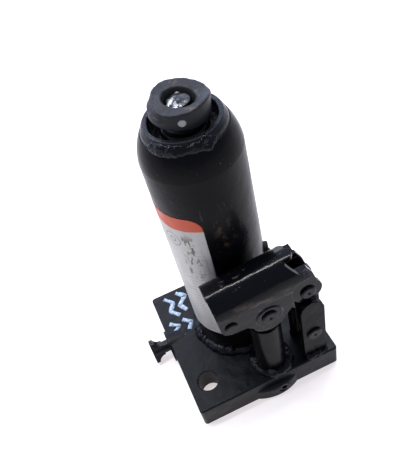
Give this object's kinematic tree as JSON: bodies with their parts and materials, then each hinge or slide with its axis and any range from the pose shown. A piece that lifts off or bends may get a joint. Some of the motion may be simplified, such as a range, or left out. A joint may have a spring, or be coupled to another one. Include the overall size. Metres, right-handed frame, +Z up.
{
  "type": "hydraulic bottle jack",
  "caption": "Upright hydraulic bottle jack: square base, tubular oil tank, ram with screw-out saddle, side pump with handle socket and links, and a release valve.",
  "frame": {"origin": "on the ram's axis, at the underside of the base plate", "axes": "+Z up along the ram; +X to the right along the base's front edge; the pump stands at the front, towards -Y; the release valve points to -X"},
  "size_m": [0.1255, 0.115, 0.2318],
  "materials": {
    "cast_base": "black gloss paint over a forging, worn and dusty",
    "tank_paint": "black satin paint on drawn tube",
    "nut_paint": "black gloss paint on turned steel",
    "weld_paint": "black paint over a lumpy weld bead",
    "pump_paint": "black gloss paint on turned steel",
    "socket_paint": "black gloss paint on bent sheet, chipped at the edges",
    "bracket_paint": "black paint on flat bar",
    "link_paint": "black paint on flat bar",
    "pin_paint": "black paint on rivet heads",
    "valve_paint": "black paint, worn at the wing tips",
    "saddle_paint": "dark phosphated steel with rust and wear",
    "turned_steel": "oily machined steel",
    "hard_chrome": "ground and plated",
    "ball_steel": "polished bearing ball",
    "zinc_screw": "yellow-grey zinc plate",
    "black_rubber": "oiled nitrile rubber",
    "red_packing": "polyurethane seal",
    "label_film": "printed film, scuffed"
  },
  "bodies": {
    "jack_body": {"base_plate": "cast_base", "tank_foot_weld": "weld_paint", "reservoir_tank": "tank_paint", "oil_filler_plug": "black_rubber", "rating_label": "label_film", "top_nut": "nut_paint", "neck_weld": "weld_paint", "ram_wiper_seal": "red_packing", "pressure_cylinder": "turned_steel", "cylinder_gasket": "red_packing", "pump_cylinder": "pump_paint", "pump_foot_weld": "weld_paint", "pump_packing": "red_packing", "pump_wiper_ring": "black_rubber", "front_lug": "bracket_paint", "rear_lug": "bracket_paint", "lug_welds": "weld_paint", "lower_link_pin": "pin_paint", "delivery_ball": "ball_steel", "delivery_retainer": "zinc_screw", "suction_plug": "zinc_screw", "suction_ball": "ball_steel", "gallery_plug": "pin_paint", "overload_ball": "ball_steel", "overload_spring": "turned_steel", "overload_screw": "zinc_screw", "valve_ball": "ball_steel"},
    "ram_group": {"ram": "hard_chrome", "piston_cup_seal": "black_rubber", "piston_guide_ring": "red_packing"},
    "stop_ring": {"screw_stop_ring": "turned_steel"},
    "screw_group": {"extension_screw": "turned_steel"},
    "saddle_group": {"saddle": "saddle_paint", "saddle_pin": "turned_steel"},
    "plunger_group": {"pump_plunger": "hard_chrome"},
    "socket_group": {"handle_socket": "socket_paint", "pump_pin": "pin_paint", "upper_link_pin": "pin_paint", "handle_rest_rivet": "pin_paint"},
    "link_group": {"front_link": "link_paint", "rear_link": "link_paint", "link_rivet": "pin_paint", "link_bushes": "turned_steel"},
    "valve_group": {"release_valve": "valve_paint", "valve_o_ring": "black_rubber"}
  },
  "joints": [
    {"name": "ram_lift", "type": "slide", "parent": "jack_body", "child": "ram_group", "axis": [0, 0, 1], "range_m": [0, 0.135]},
    {"name": "extension_lift", "type": "slide", "parent": "ram_group", "child": "stop_ring", "axis": [0, 0, 1], "range_m": [0, 0.06]},
    {"name": "extension_turn", "type": "hinge", "parent": "stop_ring", "child": "screw_group", "pos_m": [0, 0, 0.2], "axis": [0, 0, 1], "range_deg": [0, 5401]},
    {"name": "saddle_rock", "type": "hinge", "parent": "screw_group", "child": "saddle_group", "pos_m": [0, 0, 0.2248], "axis": [-0.2588, -0.9659, 0], "range_deg": [0, 17.8]},
    {"name": "pump_stroke", "type": "slide", "parent": "jack_body", "child": "plunger_group", "axis": [0, 0, 1], "range_m": [-0.007, 0.013]},
    {"name": "handle_swing", "type": "hinge", "parent": "plunger_group", "child": "socket_group", "pos_m": [0.0072, -0.0456, 0.0988], "axis": [0, 1, 0], "range_deg": [-14.6, 26.8]},
    {"name": "link_swing", "type": "hinge", "parent": "jack_body", "child": "link_group", "pos_m": [0.0376, -0.0456, 0.0488], "axis": [0, 1, 0], "range_deg": [-4.2, 2.4]},
    {"name": "release_turn", "type": "hinge", "parent": "jack_body", "child": "valve_group", "pos_m": [-0.06, 0.0093, 0.0102], "axis": [1, 0, 0], "range_deg": [0, 540]}
  ],
  "couplings": [
    {"joint": "extension_turn", "follows": "extension_lift", "rad_per_m": 1570.8},
    {"joint": "handle_swing", "follows": "pump_stroke", "rad_per_m": 35.08},
    {"joint": "link_swing", "follows": "pump_stroke", "rad_per_m": -5.195}
  ]
}
